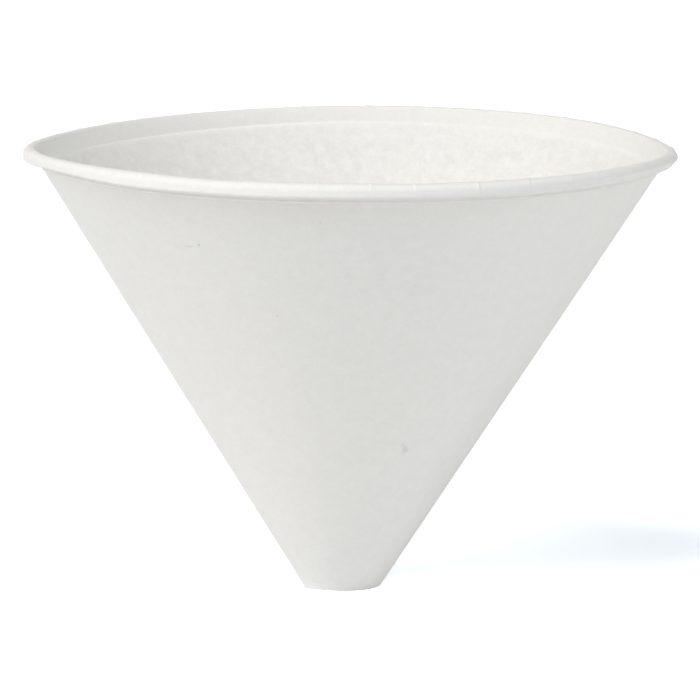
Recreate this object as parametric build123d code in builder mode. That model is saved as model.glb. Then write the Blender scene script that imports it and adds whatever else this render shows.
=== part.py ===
from build123d import *
from math import asin, atan2, cos, degrees, hypot, radians, sin, tan
import os

# Cone paper cup with a rolled rim and a small closed foot.
# One sheet of treated paper, wound into a cone, lapped and glued along its side, rolled outward at
# the rim and folded in at the foot. Millimetres, +Z up, origin at the centre of the foot on the
# surface that the cup stands on. The front of the cup is towards -Y.

os.makedirs("parts", exist_ok=True)

# The sheet
paper = 0.3

# The body: across the rolled rim, overall, and across the flat ring that the cup stands on
rim_diameter = 117.5
height = 80.5
foot_diameter = 13.5

# The rolled rim: the sheet turns outward over the top, down a flat side, and in and up inside
roll_diameter = 2.5
roll_gap = 0.2
tuck_angle = 165

# The shoulder, a crease all round that the rolling die leaves in the wall, and the band above it
shoulder_inset = 3.4
shoulder_drop = 3.3
shoulder_step = 0.4
shoulder_lean = 60
band_lean = 20

# The tightest bend of the sheet's middle line, at the shoulder and at two corners of the roll
bend_radius = 0.4

# The foot: a tight fold, the flat ring inside it, and a floor that is pressed up a little
fold_radius = 0.5
ring_width = 1.5
floor_rise = 0.6
press_slope = 45
press_radius = 0.6

# The glued side lap, a second thickness down the back of the left side, as degrees from +X
lap_width = 7
lap_direction = 140
lap_end_gap = 0.6

# The sheet is drawn by its middle line, from the axis outward and up
half_paper = paper / 2

# The roll: the turn of its upper outer quarter, and that turn's centre
first_turn = roll_diameter / 2 - half_paper
roll_r = (rim_diameter - roll_diameter) / 2
roll_z = height - roll_diameter / 2
roll_top = roll_z + first_turn
roll_bottom = roll_z - first_turn

# The shoulder: the wall ends at its lower corner, and the band under the rim starts at its upper
shoulder_low = (rim_diameter / 2 - shoulder_inset, height - shoulder_drop)
shoulder_high = (
    shoulder_low[0] + shoulder_step,
    shoulder_low[1] + shoulder_step / tan(radians(shoulder_lean)),
)

# The band ends at the roll's inner top corner
band_top = (shoulder_high[0] + (roll_top - shoulder_high[1]) * tan(radians(band_lean)), roll_top)

# The sheet's end turns inside the roll, clear of the band
from_band = (roll_r - shoulder_high[0]) * cos(radians(band_lean))
from_band -= (roll_bottom - shoulder_high[1]) * sin(radians(band_lean))
second_turn = (from_band - paper - roll_gap) / (1 + sin(radians(band_lean)))

# The wall leans so that it runs straight out of the fold
fold_r = foot_diameter / 2
fold_turn = fold_radius - half_paper
to_shoulder = (shoulder_low[0] - fold_r, shoulder_low[1] - fold_radius)
wall_lean = degrees(atan2(*to_shoulder) - asin(fold_turn / hypot(*to_shoulder)))

# The floor steps up from the ring by a short slope
ring_r = fold_r - ring_width
floor_r = ring_r - floor_rise / tan(radians(press_slope))

# The lap runs along the wall, from just above the fold to just below the shoulder
along = Vector(sin(radians(wall_lean)), cos(radians(wall_lean)))
outward = Vector(along.Y, -along.X)
wall_low = Vector(fold_r, fold_radius) + outward * fold_turn
lap_low = wall_low + along * lap_end_gap
lap_high = Vector(*shoulder_low) - along * lap_end_gap

with BuildPart() as side_lap:
    with BuildSketch(Plane.XZ) as lap_section:
        with BuildLine():
            Polyline(
                lap_low,
                lap_low + outward * (half_paper + paper),
                lap_high + outward * (half_paper + paper),
                lap_high,
                close=True,
            )
        make_face()
    revolve(axis=Axis.Z)
    with BuildSketch(Plane.XY.rotated((0, 0, lap_direction))) as lap_strip:
        Rectangle(rim_diameter, lap_width, align=(Align.MIN, Align.CENTER))
    extrude(amount=height, mode=Mode.INTERSECT)

# Angles in the section are from the radius outward, so a turn starts straight down at -90
with BuildPart() as cup:
    with BuildSketch(Plane.XZ) as section:
        with BuildLine() as sheet:
            fold = CenterArc((fold_r, fold_radius), fold_turn, -90, 90 - wall_lean)
            FilletPolyline(
                (0, floor_rise + half_paper),
                (floor_r, floor_rise + half_paper),
                (ring_r, half_paper),
                fold @ 0,
                radius=press_radius,
            )
            turn = CenterArc((roll_r, roll_z), first_turn, 90, -90)
            tuck = CenterArc((roll_r, roll_bottom + second_turn), second_turn, -90, -tuck_angle)
            FilletPolyline(
                fold @ 1, shoulder_low, shoulder_high, band_top, turn @ 0, radius=bend_radius
            )
            FilletPolyline(
                turn @ 1, (roll_r + first_turn, roll_bottom), tuck @ 0, radius=bend_radius
            )
        trace(line_width=paper)
    revolve(axis=Axis.Z)
    add(side_lap.part)

cup.part.label = "cup"
export_step(cup.part, "parts/cup.step")
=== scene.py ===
import math

import bpy
import numpy as np
from mathutils import Matrix, Vector


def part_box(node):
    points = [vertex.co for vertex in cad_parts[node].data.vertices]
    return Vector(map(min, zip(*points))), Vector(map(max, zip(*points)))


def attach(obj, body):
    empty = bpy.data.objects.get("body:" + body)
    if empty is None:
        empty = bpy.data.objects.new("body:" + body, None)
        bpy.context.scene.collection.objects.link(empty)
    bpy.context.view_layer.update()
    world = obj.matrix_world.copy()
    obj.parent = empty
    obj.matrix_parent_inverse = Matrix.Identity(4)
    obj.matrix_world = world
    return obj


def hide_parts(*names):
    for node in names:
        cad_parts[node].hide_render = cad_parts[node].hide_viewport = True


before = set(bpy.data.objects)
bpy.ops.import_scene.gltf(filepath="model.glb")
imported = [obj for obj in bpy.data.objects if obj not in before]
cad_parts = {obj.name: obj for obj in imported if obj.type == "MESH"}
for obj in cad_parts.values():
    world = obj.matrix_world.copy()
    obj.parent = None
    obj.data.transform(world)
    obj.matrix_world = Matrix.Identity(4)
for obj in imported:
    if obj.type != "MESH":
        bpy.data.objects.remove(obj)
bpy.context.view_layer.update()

# The cup is one sheet of white treated paper, wound into a cone, lapped and glued down its side.
# A die rolls its top edge outward into the rim, which leaves a crease all round just under it.
# Its bottom edge is folded in and pressed to a small floor, and the cup stands on the ring round that.
mm = 0.001
cup_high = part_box("cup")[1]
paper = 0.3 * mm
half_paper = paper / 2

# The roll. The rim's plane lies below the cup's highest point by about as much as its waves rise.
roll_radius = 1.25 * mm
rim_rise = 0.7 * mm
roll_r = cup_high.x - roll_radius
roll_z = cup_high.z - roll_radius - rim_rise
first_turn = roll_radius - half_paper
roll_gap = 0.2 * mm
tuck_angle = 165

# The crease under the rim, by its lower corner's place from the roll's centre
shoulder_in = 2.16 * mm
shoulder_down = 2.12 * mm
shoulder_step = 0.4 * mm
shoulder_lean = 60
band_lean = 20

# The tightest bend of the sheet's middle line, at the crease and at two corners of the roll
bend_radius = 0.4 * mm

# The foot: a tight fold, the flat ring inside it, and a floor that is pressed up a little
foot_radius = 6.73 * mm
fold_radius = 0.5 * mm
ring_width = 1.5 * mm
floor_rise = 0.6 * mm
press_slope = 45
press_radius = 0.6 * mm

# The side lap, down the left of the back: one cut edge, and a climb over the sheet's other edge
lap_width = 7 * mm
lap_climb = 1.2 * mm
lap_azimuth = 140
lap_end_gap = 0.6 * mm

# The steps that each round stretch is drawn in
bend_steps, fold_steps, turn_steps, tuck_steps = 5, 6, 14, 8


def arc_run(centre, radius, start, sweep, steps):
    """A round stretch of the sheet: radius and height of its points, and the sheet's heading there."""
    angle = np.radians(start + sweep * np.arange(steps + 1) / steps)
    spots = np.array(centre) + radius * np.column_stack([np.cos(angle), np.sin(angle)])
    return np.column_stack([spots, angle + math.copysign(math.pi / 2, sweep)])


def straight_run(start, end, shares):
    """A straight stretch of the sheet, with a point at each share of its length."""
    way = np.subtract(end, start)
    spots = np.array(start) + way * np.array(shares)[:, None]
    return np.column_stack([spots, np.full(len(shares), math.atan2(way[1], way[0]))])


def bend_run(before, corner, after, radius):
    """A rounded corner of the sheet."""
    back, on = np.subtract(before, corner), np.subtract(after, corner)
    back, on = back / np.hypot(*back), on / np.hypot(*on)
    half_angle = math.acos(np.dot(back, on)) / 2
    centre = corner + (back + on) / np.hypot(*(back + on)) * radius / math.sin(half_angle)
    start = corner + back * radius / math.tan(half_angle) - centre
    side = math.copysign(1, back[1] * on[0] - back[0] * on[1])
    start_angle = math.degrees(math.atan2(start[1], start[0]))
    sweep = side * (180 - 2 * math.degrees(half_angle))
    return arc_run(centre, radius, start_angle, sweep, bend_steps)


def bent_run(corners, radius, shares):
    """The sheet through its corners, each inner one rounded, with points at shares of each straight."""
    runs = []
    start = corners[0]
    for before, corner, after, share in zip(corners, corners[1:], corners[2:], shares):
        bend = bend_run(before, corner, after, radius)
        runs += [straight_run(start, bend[0, :2], share), bend]
        start = bend[-1, :2]
    runs.append(straight_run(start, corners[-1], shares[-1]))
    return runs


# The corners of the sheet's middle line
roll_top, roll_bottom = roll_z + first_turn, roll_z - first_turn
shoulder_low = (roll_r - shoulder_in, roll_z - shoulder_down)
shoulder_high = (
    shoulder_low[0] + shoulder_step,
    shoulder_low[1] + shoulder_step / math.tan(math.radians(shoulder_lean)),
)
band_rise = roll_top - shoulder_high[1]
band_top = (shoulder_high[0] + band_rise * math.tan(math.radians(band_lean)), roll_top)
from_band = (roll_r - shoulder_high[0]) * math.cos(math.radians(band_lean))
from_band -= (roll_bottom - shoulder_high[1]) * math.sin(math.radians(band_lean))
second_turn = (from_band - paper - roll_gap) / (1 + math.sin(math.radians(band_lean)))
fold_turn = fold_radius - half_paper
to_shoulder = (shoulder_low[0] - foot_radius, shoulder_low[1] - fold_radius)
wall_lean = math.degrees(
    math.atan2(*to_shoulder) - math.asin(fold_turn / math.hypot(*to_shoulder))
)
ring_r = foot_radius - ring_width
floor_corner = (
    ring_r - floor_rise / math.tan(math.radians(press_slope)),
    floor_rise + half_paper,
)

# The dimple at the front of the wall, by azimuth, height and how far up and down it reaches
dimple_azimuth, dimple_height, dimple_reach = -65.8, 28.8 * mm, 1.7 * mm

# Where the wall has points, as rises over the fold: some plain ones, both ends of the lap, where its
# thickness starts and stops within a hair, and close ones over the dimple
hair = 0.02 * mm
wall_rise = shoulder_low[1] - fold_radius
plain_rises = wall_rise * np.array([0, 1, 2, 5, 8, 11, 14, 17, 19, 20, 21]) / 21
lap_rises = np.array([lap_end_gap, wall_rise - lap_end_gap])
dimple_rises = dimple_height - fold_radius + dimple_reach * np.linspace(-1, 1, 13)
wall_rises = np.concatenate([plain_rises, lap_rises - hair, lap_rises + hair, dimple_rises])
wall_shares = np.unique(wall_rises / wall_rise)

# The middle line itself, from the axis outward and up, with the same turns as the real sheet
ends_only, even = (0, 1), np.linspace(0, 1, 4)
band_shares, side_shares = np.linspace(0, 1, 8), np.linspace(0, 1, 10)
fold = arc_run((foot_radius, fold_radius), fold_turn, -90, 90 - wall_lean, fold_steps)
foot = bent_run(
    [(0, floor_corner[1]), floor_corner, (ring_r, half_paper), fold[0, :2]],
    press_radius,
    (even, ends_only, ends_only),
)
turn = arc_run((roll_r, roll_z), first_turn, 90, -90, turn_steps)
tuck_centre = (roll_r, roll_bottom + second_turn)
tuck = arc_run(tuck_centre, second_turn, -90, -tuck_angle, tuck_steps)
wall, low_bend, shelf, high_bend, band, top_bend, top_flat = bent_run(
    [fold[-1, :2], shoulder_low, shoulder_high, band_top, turn[0, :2]],
    bend_radius,
    (wall_shares, ends_only, band_shares, even),
)
roll_side = bent_run(
    [turn[-1, :2], (roll_r + first_turn, roll_bottom), tuck[0, :2]],
    bend_radius,
    (side_shares, even),
)
sheet = np.concatenate([
    *foot, fold, wall, low_bend, shelf, high_bend, band, top_bend, top_flat, turn, *roll_side, tuck
])
same_point = 0.001 * mm
spacing = np.hypot(*np.diff(sheet[:, :2], axis=0).T)
sheet = sheet[np.append(True, spacing > same_point)]
distance = np.append(0, np.cumsum(spacing[spacing > same_point]))


def distance_at(spot):
    """How far along the sheet a point of its middle line lies."""
    return distance[np.argmin(np.hypot(sheet[:, 0] - spot[0], sheet[:, 1] - spot[1]))]


wall_start, wall_end = distance_at(wall[0]), distance_at(wall[-1])
crease, band_end = distance_at(high_bend[-1]), distance_at(band[-1])
roll_end = distance_at(tuck[0])
lap_start, lap_stop = wall_start + lap_rises / wall_rise * (wall_end - wall_start)

# Both faces of the sheet: from the axis along the outside to the tucked edge, and back along the
# inside. Each point has its way out from the middle line, and how far along the sheet it lies.
normal = np.column_stack([-np.sin(sheet[:, 2]), np.cos(sheet[:, 2])])
line = np.concatenate([sheet[:, :2], sheet[::-1, :2]])
out = np.concatenate([-normal, normal[::-1]])
along = np.concatenate([distance, distance[::-1]])
inside = np.repeat([0.0, 1.0], len(sheet))

# The pinches round the rim where the paper puckers as it is rolled, by azimuth. Those at the front and
# left have this cup's own places, and the rest follow at like distances. Each one climbs slowly on one
# side and drops into a small groove on the other. Those from the left end to the front face the other
# way.
pinches = [199.5, 209, 218.5, 231.5, 244, 252, 264.5, 273.5, 281, 292, 301.5, 311, 317]
least_apart, most_apart = 8, 13
hand = np.random.RandomState(4)
while pinches[-1] < 360 + pinches[0] - most_apart:
    pinches.append(pinches[-1] + hand.uniform(least_apart, most_apart))
pinch_size = hand.uniform(0.09, 0.15, len(pinches)) * mm
pinch_slant = hand.uniform(-0.7, 0.7, len(pinches)) * mm
other_way_azimuth, other_way_spread = 235, 50
other_way = np.abs(np.array(pinches) - other_way_azimuth) < other_way_spread
pinch_side = np.where(other_way, -1, 1)
pinch_climb, pinch_drop, pinch_groove = 0.45 * mm, 0.2 * mm, 0.12

# The columns of the mesh, as angles from the lap's middle: even ones, with more of them at the pinches,
# the dimple and the lap's edges
top_half_lap = lap_width / 2 / shoulder_low[0]
climb_turn = lap_climb / shoulder_low[0]
hair_turn = hair / shoulder_low[0]
pinch_turn = np.array([-0.8, -0.45, -0.2, 0, 0.12, 0.24, 0.4, 0.6]) * mm / cup_high.x
column = np.concatenate([
    np.radians(np.arange(0, 360, 3.0)),
    *[math.radians(pinch) + side * pinch_turn for pinch, side in zip(pinches, pinch_side)],
    np.radians(dimple_azimuth + np.linspace(-4, 4, 25)),
]) - math.radians(lap_azimuth)
column = (column + math.pi) % (2 * math.pi) - math.pi
column = column[(column < -top_half_lap - 2 * hair_turn) | (column > top_half_lap + climb_turn)]
column = np.unique(np.concatenate([
    column,
    -top_half_lap + np.array([-1, 1]) * hair_turn,
    np.linspace(-0.7, 1, 6) * top_half_lap,
    top_half_lap + climb_turn * np.array([0.25, 0.5, 0.75]),
]))
column = column[np.append(np.diff(column) > 0.5 * hair_turn, True)]

# The lap is as wide at the foot as at the rim, so there it takes up more of the turn
lap_turn = lap_width / 2 / np.clip(line[:, 0], foot_radius, shoulder_low[0])[:, None]
beyond = (math.pi - lap_turn) / (math.pi - top_half_lap)
from_lap = np.where(
    np.abs(column) < top_half_lap,
    column * lap_turn / top_half_lap,
    np.sign(column) * (lap_turn + (np.abs(column) - top_half_lap) * beyond),
)
azimuth = from_lap + math.radians(lap_azimuth)

# The unevenness of this cup. The foot's fold is sharper at the left by this much.
sharp_fold, sharp_azimuth, sharp_spread = 0.24 * mm, 195, 60
# And it stands out in a blunt corner there, which is gone again a little way up the wall
corner_out, corner_azimuth, corner_spread = 0.9 * mm, 219, 16
corner_height, corner_fade = 3 * mm, 1.5

# The rim waves up and down: how many waves, how high, and a crest's azimuth
rim_waves = (
    (2, 0.44 * mm, 73),
    (3, 0.31 * mm, -38),
    (4, 0.06 * mm, 42),
    (5, 0.11 * mm, -21),
    (6, 0.06 * mm, -25),
    (7, 0.04 * mm, -22),
)
# The roll is thicker or thinner in places: by how much, at which azimuth, and how far to each side
roll_swells = (
    (-0.20 * mm, 205, 16),
    (0.12 * mm, 232, 10),
    (0.13 * mm, 256, 5),
    (0.12 * mm, 269, 5),
    (0.11 * mm, 305, 20),
)
# And it lies higher or lower there, over and above the waves
roll_lifts = ((0.17 * mm, 208, 13), (-0.14 * mm, 282, 12))
# At the right the roll's lower half is pressed in under a crimp that runs round it: where the crimp
# starts, where it has climbed from the roll's underside to its place, and where it fades and ends
crimp_start, crimp_up, crimp_fades, crimp_end = 301, 308, 375, 395
# How high the crimp lies over the roll's centre, its small step in and that step's height, and the
# lean of the roll under it
crimp_place, crimp_step, crimp_step_height, crimp_lean = 0.15 * mm, 0.09 * mm, 0.1 * mm, 36
# How far the band bows in, between the crease and the rim
band_bow = 0.08 * mm
# At the left end the roll's inner edge stands in over a hollow in the band, this far below it
lip_in, hollow_out, hollow_below = 0.35 * mm, 0.15 * mm, 0.85 * mm
lip_azimuth, lip_spread = 168, 14
# How far the crease lies below its place all round, how far it climbs again at the back, and how much
# of the wall below it bends with it
crease_drop, crease_climb, crease_bend = 0.24 * mm, 0.54 * mm, 6 * mm
# The rim is a little narrower across than from front to back, and the foot is a little off centre
rim_squeeze = 0.24 * mm
foot_shift = -1.22 * mm


def near(angle, place, spread):
    """One at an azimuth in degrees, and about a third at a spread to each side of it."""
    away = (np.degrees(angle) - place + 180) % 360 - 180
    return np.exp(-((away / spread) ** 2))


radius = np.repeat(line[:, :1] + out[:, :1] * half_paper, len(column), axis=1)
height = np.repeat(line[:, 1:] + out[:, 1:] * half_paper, len(column), axis=1)

# The lap's second thickness, on the outside of the wall
across = from_lap * line[:, :1]
lap_rise = np.clip((lap_width / 2 + lap_climb - across) / lap_climb, 0, 1)
lap_rise = lap_rise * lap_rise * (3 - 2 * lap_rise) * (across > -lap_width / 2)
on_lap = (inside == 0) & (along > lap_start) & (along < lap_stop)
lift = paper * lap_rise * on_lap[:, None]
radius += out[:, :1] * lift
height += out[:, 1:] * lift

# The sharper fold: its middle moves out towards the corner that the wall and the floor would make
fold_ends_and_middle = [distance_at(fold[step]) for step in (0, fold_steps // 2, fold_steps)]
fold_middle = np.interp(along, fold_ends_and_middle, [0, 1, 0]) * (1 - inside)
sharpen = sharp_fold * near(azimuth, sharp_azimuth, sharp_spread) * fold_middle[:, None]
radius += out[:, :1] * sharpen
height = np.maximum(height + out[:, 1:] * sharpen, 0)

# The blunt corner of the foot
corner_share = np.clip(1 - height / corner_height, 0, 1) ** corner_fade
corner_share *= np.clip((radius - ring_r) / (foot_radius - ring_r), 0, 1)
radius += corner_out * near(azimuth, corner_azimuth, corner_spread) * corner_share

# The pinches, on the face of the paper that shows: faint on the band, full over the top of the roll,
# and fading down its outer side
round_roll = np.clip((along - band_end) / (roll_end - band_end), 0, 1)
pucker_share = inside * np.interp(
    along,
    [crease, band_end, band_end + 0.5 * mm, band_end + 1.7 * mm, band_end + 2.5 * mm, roll_end],
    [0, 0.2, 1, 1, 0.4, 0],
)
pucker = np.zeros_like(radius)
for place, size, slant, side in zip(pinches, pinch_size, pinch_slant, pinch_side):
    away = (azimuth - math.radians(place) + math.pi) % (2 * math.pi) - math.pi
    away = side * (away * cup_high.x - slant * (round_roll[:, None] - 0.5))
    climb = np.exp(-((np.minimum(away, 0) / pinch_climb) ** 2))
    drop = np.exp(-((np.maximum(away, 0) / pinch_drop) ** 2))
    groove = np.exp(-(((away - 2 * pinch_drop) / pinch_drop) ** 2))
    pucker += size * (climb * drop - pinch_groove * groove)
pucker *= pucker_share[:, None]
radius += out[:, :1] * pucker
height += out[:, 1:] * pucker

# The pressed lower half of the roll at the right
degrees = np.degrees(azimuth) % 360
degrees = np.where(degrees < crimp_end - 360, degrees + 360, degrees)
underside = roll_bottom - half_paper
crimp_height = np.interp(degrees, [crimp_start, crimp_up], [underside, roll_z + crimp_place])
crimp_share = np.interp(
    degrees, [crimp_start, crimp_start + 2, crimp_fades, crimp_end], [0, 1, 1, 0]
)
below_crimp = np.clip(crimp_height - height, 0, None)
pressed = below_crimp * math.tan(math.radians(crimp_lean))
pressed += crimp_step * np.clip(below_crimp / crimp_step_height, 0, 1)
pressed *= crimp_share * np.clip((radius - roll_r) / first_turn, 0, 1)
radius -= pressed * (along > band_end)[:, None]

# The dimple, pressed into both faces of the wall: long, narrow and tilted
dimple_depth, dimple_half_length, dimple_half_width = 0.22 * mm, 1.0 * mm, 0.45 * mm
dimple_tilt = math.radians(65)
sideways = (azimuth - math.radians(dimple_azimuth) + math.pi) % (2 * math.pi) - math.pi
sideways = sideways * line[:, :1]
upward = (line[:, 1:] - dimple_height) / math.cos(math.radians(wall_lean))
lengthwise = sideways * math.cos(dimple_tilt) - upward * math.sin(dimple_tilt)
crosswise = sideways * math.sin(dimple_tilt) + upward * math.cos(dimple_tilt)
dent = dimple_depth * np.exp(
    -((lengthwise / dimple_half_length) ** 2) - (crosswise / dimple_half_width) ** 2
)
radius -= math.cos(math.radians(wall_lean)) * dent
height += math.sin(math.radians(wall_lean)) * dent

# The crease runs a little closer to the rim at the back than elsewhere
crease_share = np.interp(
    along,
    [wall_end - crease_bend, wall_end - 0.5 * mm, crease + 0.3 * mm, band_end],
    [0, 1, 1, 0],
)
middle_of_back = np.clip(np.sin(azimuth), 0, 1) ** 6
crease_slide = (crease_climb * middle_of_back - crease_drop) * crease_share[:, None]
radius += crease_slide * math.sin(math.radians(wall_lean))
height += crease_slide * math.cos(math.radians(wall_lean))

# The band is bowed a little, so that it flares towards the rim
bow = 4 * band_bow * np.prod(np.clip([along - crease, band_end - along], 0, None), axis=0)
bow /= (band_end - crease) ** 2
radius -= math.cos(math.radians(band_lean)) * bow[:, None]
height += math.sin(math.radians(band_lean)) * bow[:, None]

# The roll's inner edge and the hollow under it, at the left end
lip = np.interp(
    along,
    [crease, band_end - hollow_below, band_end, distance_at(turn[0]), distance_at(turn[-1])],
    [0, hollow_out, -lip_in, -lip_in / 2, 0],
)
radius += lip[:, None] * near(azimuth, lip_azimuth, lip_spread)

# The roll's thickness, and the waves, the squeeze and the shift of the whole cup
swell = sum(size * near(azimuth, place, spread) for size, place, spread in roll_swells)
roll_share = np.clip((along - crease) / (band_end - crease), 0, 1)[:, None]
grow = 1 + roll_share * swell / roll_radius
radius = roll_r + (radius - roll_r) * grow
height = roll_z + (height - roll_z) * grow
rim_share = np.clip(height / roll_z, 0, 1)
wave = sum(size * np.cos(n * (azimuth - math.radians(crest))) for n, size, crest in rim_waves)
wave = wave + sum(size * near(azimuth, place, spread) for size, place, spread in roll_lifts)
height = height + wave * rim_share
radius = radius - rim_squeeze * np.cos(azimuth) ** 2 * rim_share * (radius / roll_r)
points = np.stack([
    radius * np.cos(azimuth) + foot_shift * (1 - rim_share),
    radius * np.sin(azimuth),
    height,
], axis=2)

# The mesh: one closed skin, whose first and last rows are single points on the axis, under the floor
# and over it
rows, columns = azimuth.shape
vertices = points[1:-1].reshape(-1, 3)
ends = [points[0].mean(axis=0), points[-1].mean(axis=0)]
under = len(vertices)
over = under + 1
last_row = (rows - 3) * columns
faces = []
for here in range(0, last_row, columns):
    above = here + columns
    for step in range(columns):
        beside = (step + 1) % columns
        faces.append((here + step, above + step, above + beside, here + beside))
for step in range(columns):
    beside = (step + 1) % columns
    faces.append((under, step, beside))
    faces.append((over, last_row + beside, last_row + step))

cup_mesh = bpy.data.meshes.new("paper_cup")
cup_mesh.from_pydata([*map(tuple, vertices), *map(tuple, ends)], [], faces)
cup_mesh.validate()
for face in cup_mesh.polygons:
    face.use_smooth = True
edge_angle = math.radians(40)
cup_mesh.set_sharp_from_angle(angle=edge_angle)

# How much of the inner wall's clouding each point has: all of it inside, from just below the crease
# down, and none on the band, the rim and the outside
cloud_fade = 1.0 * mm
cloudy = inside * np.clip((wall_end - along) / cloud_fade, 0, 1)
cloudy = np.append(np.repeat(cloudy[1:-1], columns), [0.0, 1.0])
cup_mesh.attributes.new("cloudy", "FLOAT", "POINT").data.foreach_set("value", cloudy)
cup = bpy.data.objects.new("paper_cup", cup_mesh)
bpy.context.scene.collection.objects.link(cup)

# White treated paper: its fibres lie in faint clouds, which the inner face shows more, and its surface
# has a fine tooth with a slight sheen.
white_paper = bpy.data.materials.new("white_treated_paper")
white_paper.use_nodes = True
nodes, links = white_paper.node_tree.nodes, white_paper.node_tree.links
shader = nodes["Principled BSDF"]
shader.inputs["Specular IOR Level"].default_value = 0.2
paper_place = nodes.new("ShaderNodeTexCoord")


def noise(size, detail, roughness):
    """A noise whose clouds are about as wide as the given size in metres."""
    node = nodes.new("ShaderNodeTexNoise")
    node.inputs["Scale"].default_value = 1 / size
    node.inputs["Detail"].default_value = detail
    node.inputs["Roughness"].default_value = roughness
    links.new(paper_place.outputs["Object"], node.inputs["Vector"])
    return node.outputs["Fac"]


def blended(amount, low, high):
    """A value that goes from low to high as the amount goes from 0.3 to 0.7."""
    node = nodes.new("ShaderNodeMapRange")
    node.inputs["From Min"].default_value = 0.3
    node.inputs["From Max"].default_value = 0.7
    node.inputs["To Min"].default_value = low
    node.inputs["To Max"].default_value = high
    links.new(amount, node.inputs["Value"])
    return node.outputs["Result"]


clouds = noise(1.9 * mm, 6, 0.75)
fibres = noise(0.45 * mm, 3, 0.6)
tooth = noise(0.16 * mm, 2, 0.5)

paper_colour = (0.947, 0.92, 0.885, 1)
cloud_colour = (0.835, 0.805, 0.775, 1)
outer_clouding, inner_clouding = 0.34, 1.0
cloudy_part = nodes.new("ShaderNodeAttribute")
cloudy_part.attribute_name = "cloudy"
strength = nodes.new("ShaderNodeMapRange")
strength.inputs["To Min"].default_value = outer_clouding
strength.inputs["To Max"].default_value = inner_clouding
links.new(cloudy_part.outputs["Fac"], strength.inputs["Value"])
cloud_amount = nodes.new("ShaderNodeMath")
cloud_amount.operation = "MULTIPLY"
links.new(blended(clouds, 0.0, 1.0), cloud_amount.inputs[0])
links.new(strength.outputs["Result"], cloud_amount.inputs[1])
paper_mix = nodes.new("ShaderNodeMix")
paper_mix.data_type = "RGBA"
paper_mix.inputs["A"].default_value = paper_colour
paper_mix.inputs["B"].default_value = cloud_colour
links.new(cloud_amount.outputs["Value"], paper_mix.inputs["Factor"])

grain = nodes.new("ShaderNodeVectorMath")
grain.operation = "SCALE"
links.new(paper_mix.outputs["Result"], grain.inputs[0])
links.new(blended(fibres, 0.98, 1.02), grain.inputs["Scale"])
paper_shade = grain.outputs["Vector"]

# Specks of darker fibre, and at the dimple painted shade in a crescent round the dent with a painted
# highlight at its left:
# azimuth, height, half the length round the cup, half the width, how steeply it climbs, and how much of
# the light it takes
speck_and_painted_light_depth = 1.5 * mm
for turn_round, rise, half_length, half_width, slope, darkening in (
    (-124.1, 66.87 * mm, 1.3 * mm, 0.2 * mm, 3, 0.12),
    (-121.5, 67.3 * mm, 0.25 * mm, 0.35 * mm, 0, 0.28),
    (-106.9, 54.7 * mm, 0.25 * mm, 0.25 * mm, 0, 0.15),
    (-95.4, 72.64 * mm, 0.25 * mm, 0.25 * mm, 0, 0.10),
    # The dimple: painted shade in a crescent round the dent, and last a painted highlight at its left
    (-66.7, 29.45 * mm, 0.5 * mm, 0.6 * mm, 0, 0.08),
    (-65.0, 28.5 * mm, 0.65 * mm, 1.1 * mm, 0, 0.10),
    (-63.7, 28.1 * mm, 0.4 * mm, 0.5 * mm, 0, 0.07),
    (-66.6, 28.5 * mm, 0.25 * mm, 0.25 * mm, 0, -0.08),
):
    turned = math.radians(turn_round)
    speck_and_painted_light_radius = foot_radius + (rise - fold_radius) * math.tan(math.radians(wall_lean)) + paper
    # Each entry darkens the paper's colour, or lightens it where negative: a real speck, or painted
    # shade or a painted highlight at the dimple
    speck_and_painted_light = nodes.new("ShaderNodeMapping")
    speck_and_painted_light.vector_type = "TEXTURE"
    speck_and_painted_light.inputs["Location"].default_value = (
        speck_and_painted_light_radius * math.cos(turned) + foot_shift * (1 - rise / roll_z),
        speck_and_painted_light_radius * math.sin(turned),
        rise,
    )
    speck_and_painted_light.inputs["Rotation"].default_value = (math.radians(slope), 0, turned)
    speck_and_painted_light.inputs["Scale"].default_value = (speck_and_painted_light_depth, half_length, half_width)
    links.new(paper_place.outputs["Object"], speck_and_painted_light.inputs["Vector"])
    from_middle = nodes.new("ShaderNodeVectorMath")
    from_middle.operation = "LENGTH"
    links.new(speck_and_painted_light.outputs["Vector"], from_middle.inputs[0])
    light_left = nodes.new("ShaderNodeMapRange")
    light_left.inputs["From Min"].default_value = 0.5
    light_left.inputs["To Min"].default_value = 1 - darkening
    links.new(from_middle.outputs["Value"], light_left.inputs["Value"])
    shade = nodes.new("ShaderNodeVectorMath")
    shade.operation = "SCALE"
    links.new(paper_shade, shade.inputs[0])
    links.new(light_left.outputs["Result"], shade.inputs["Scale"])
    paper_shade = shade.outputs["Vector"]
links.new(paper_shade, shader.inputs["Base Color"])
links.new(blended(fibres, 0.62, 0.74), shader.inputs["Roughness"])

bump = nodes.new("ShaderNodeBump")
bump.inputs["Strength"].default_value = 0.25
bump.inputs["Distance"].default_value = 0.02 * mm
heights = nodes.new("ShaderNodeMath")
heights.operation = "ADD"
links.new(fibres, heights.inputs[0])
links.new(tooth, heights.inputs[1])
links.new(heights.outputs["Value"], bump.inputs["Height"])
links.new(bump.outputs["Normal"], shader.inputs["Normal"])
cup_mesh.materials.append(white_paper)

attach(cup, "root")
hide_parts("cup")

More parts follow.
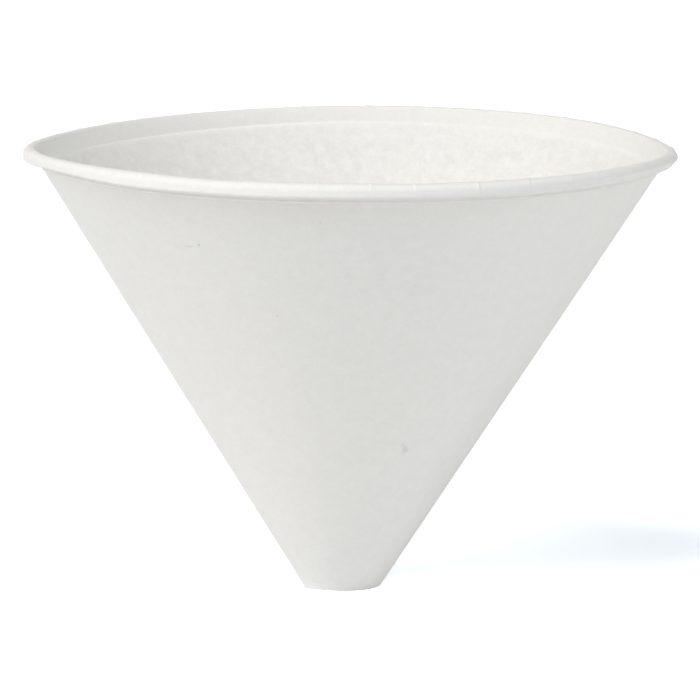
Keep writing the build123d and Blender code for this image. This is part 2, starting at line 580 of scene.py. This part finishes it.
# The floor: a plain sheet of matt white board that the cup stands on, and that runs on far behind it.
# It is lit as pale board and seen as plain white.
floor_reach = 4.0
floor_colour = (0.92, 0.92, 0.92, 1)
floor_seen_colour = (2.6, 2.6, 2.6, 1)
floor_mesh = bpy.data.meshes.new("floor")
floor_mesh.from_pydata(
    [(x * floor_reach, y * floor_reach, 0) for x, y in ((-1, -1), (1, -1), (1, 1), (-1, 1))],
    [],
    [(0, 1, 2, 3)],
)
floor = bpy.data.objects.new("floor", floor_mesh)
bpy.context.scene.collection.objects.link(floor)
floor_paint = bpy.data.materials.new("floor_white")
floor_paint.use_nodes = True
nodes, links = floor_paint.node_tree.nodes, floor_paint.node_tree.links
floor_shader = nodes["Principled BSDF"]
floor_shader.inputs["Roughness"].default_value = 1.0
floor_shader.inputs["Specular IOR Level"].default_value = 0.0


def seen_as_background(nodes, links):
    """One where a surface is seen straight, in a reflection or through glass, and otherwise zero."""
    path = nodes.new("ShaderNodeLightPath")
    straight_or_mirrored = nodes.new("ShaderNodeMath")
    straight_or_mirrored.operation = "MAXIMUM"
    links.new(path.outputs["Is Camera Ray"], straight_or_mirrored.inputs[0])
    links.new(path.outputs["Is Glossy Ray"], straight_or_mirrored.inputs[1])
    seen = nodes.new("ShaderNodeMath")
    seen.operation = "MAXIMUM"
    links.new(straight_or_mirrored.outputs["Value"], seen.inputs[0])
    links.new(path.outputs["Is Transmission Ray"], seen.inputs[1])
    return seen.outputs["Value"]


floor_mix = nodes.new("ShaderNodeMix")
floor_mix.data_type = "RGBA"
floor_mix.inputs["A"].default_value = floor_colour
floor_mix.inputs["B"].default_value = floor_seen_colour
links.new(seen_as_background(nodes, links), floor_mix.inputs["Factor"])
links.new(floor_mix.outputs["Result"], floor_shader.inputs["Base Color"])
floor_mesh.materials.append(floor_paint)

# The light is an even pale room and four large soft lamps. The main one stands at the front left, a
# warmer one high above it, and two weaker ones at the right, of which the higher one is cooler.
room_colour = (0.11, 0.12, 0.13, 1)
room_seen_colour = (1, 1, 1, 1)
world = bpy.data.worlds.new("pale_room")
bpy.context.scene.world = world
world.use_nodes = True
nodes, links = world.node_tree.nodes, world.node_tree.links
room = nodes["Background"]
room_mix = nodes.new("ShaderNodeMix")
room_mix.data_type = "RGBA"
room_mix.inputs["A"].default_value = room_colour
room_mix.inputs["B"].default_value = room_seen_colour
links.new(seen_as_background(nodes, links), room_mix.inputs["Factor"])
links.new(room_mix.outputs["Result"], room.inputs["Color"])

# Each lamp looks at the middle of the cup: its azimuth, how steeply it looks down, its power and colour
lamp_distance, lamp_size = 2.2, 1.35
cup_middle = Vector((0, 0, cup_high.z / 2))
for name, turn_round, steepness, power, colour in (
    ("left_lamp", 210, 32, 23.2, (0.925, 0.965, 1)),
    ("high_lamp", 230, 60, 17.6, (1, 0.95, 0.84)),
    ("right_lamp", 300, 32, 10.6, (0.82, 0.89, 1)),
    ("low_right_lamp", 350, 12, 11.8, (0.95, 1, 0.96)),
):
    side, lift = math.radians(turn_round), math.radians(steepness)
    way = Vector((math.cos(lift) * math.cos(side), math.cos(lift) * math.sin(side), math.sin(lift)))
    lamp_data = bpy.data.lights.new(name, "AREA")
    lamp_data.shape = "SQUARE"
    lamp_data.size = lamp_size
    lamp_data.energy = power
    lamp_data.color = colour
    lamp = bpy.data.objects.new(name, lamp_data)
    lamp.location = cup_middle + lamp_distance * way
    lamp.rotation_euler = (-way).to_track_quat("-Z", "Y").to_euler()
    bpy.context.scene.collection.objects.link(lamp)

# The camera: a long lens in front of the cup and a little above its rim, as in the photograph. It is
# tipped by a quarter of a degree.
picture_width_px = 700
focal_length_px = 6407
camera_distance = 1150 * mm
elevation, tip = math.radians(8.622), math.radians(0.242)
aim = Vector((0.07 * mm, 0, 42.71 * mm))
ahead = Vector((0, math.cos(elevation), -math.sin(elevation)))
right = Vector((1, 0, 0))
up = right.cross(ahead)
right, up = (
    right * math.cos(tip) + up * math.sin(tip),
    up * math.cos(tip) - right * math.sin(tip),
)
camera_data = bpy.data.cameras.new("camera")
camera_data.sensor_width = 36
camera_data.lens = camera_data.sensor_width * focal_length_px / picture_width_px
camera = bpy.data.objects.new("camera", camera_data)
camera_turn = Matrix((right, up, -ahead)).transposed().to_4x4()
camera.matrix_world = Matrix.Translation(aim - ahead * camera_distance) @ camera_turn
bpy.context.scene.collection.objects.link(camera)
bpy.context.scene.camera = camera
bpy.context.scene.view_settings.view_transform = "Standard"
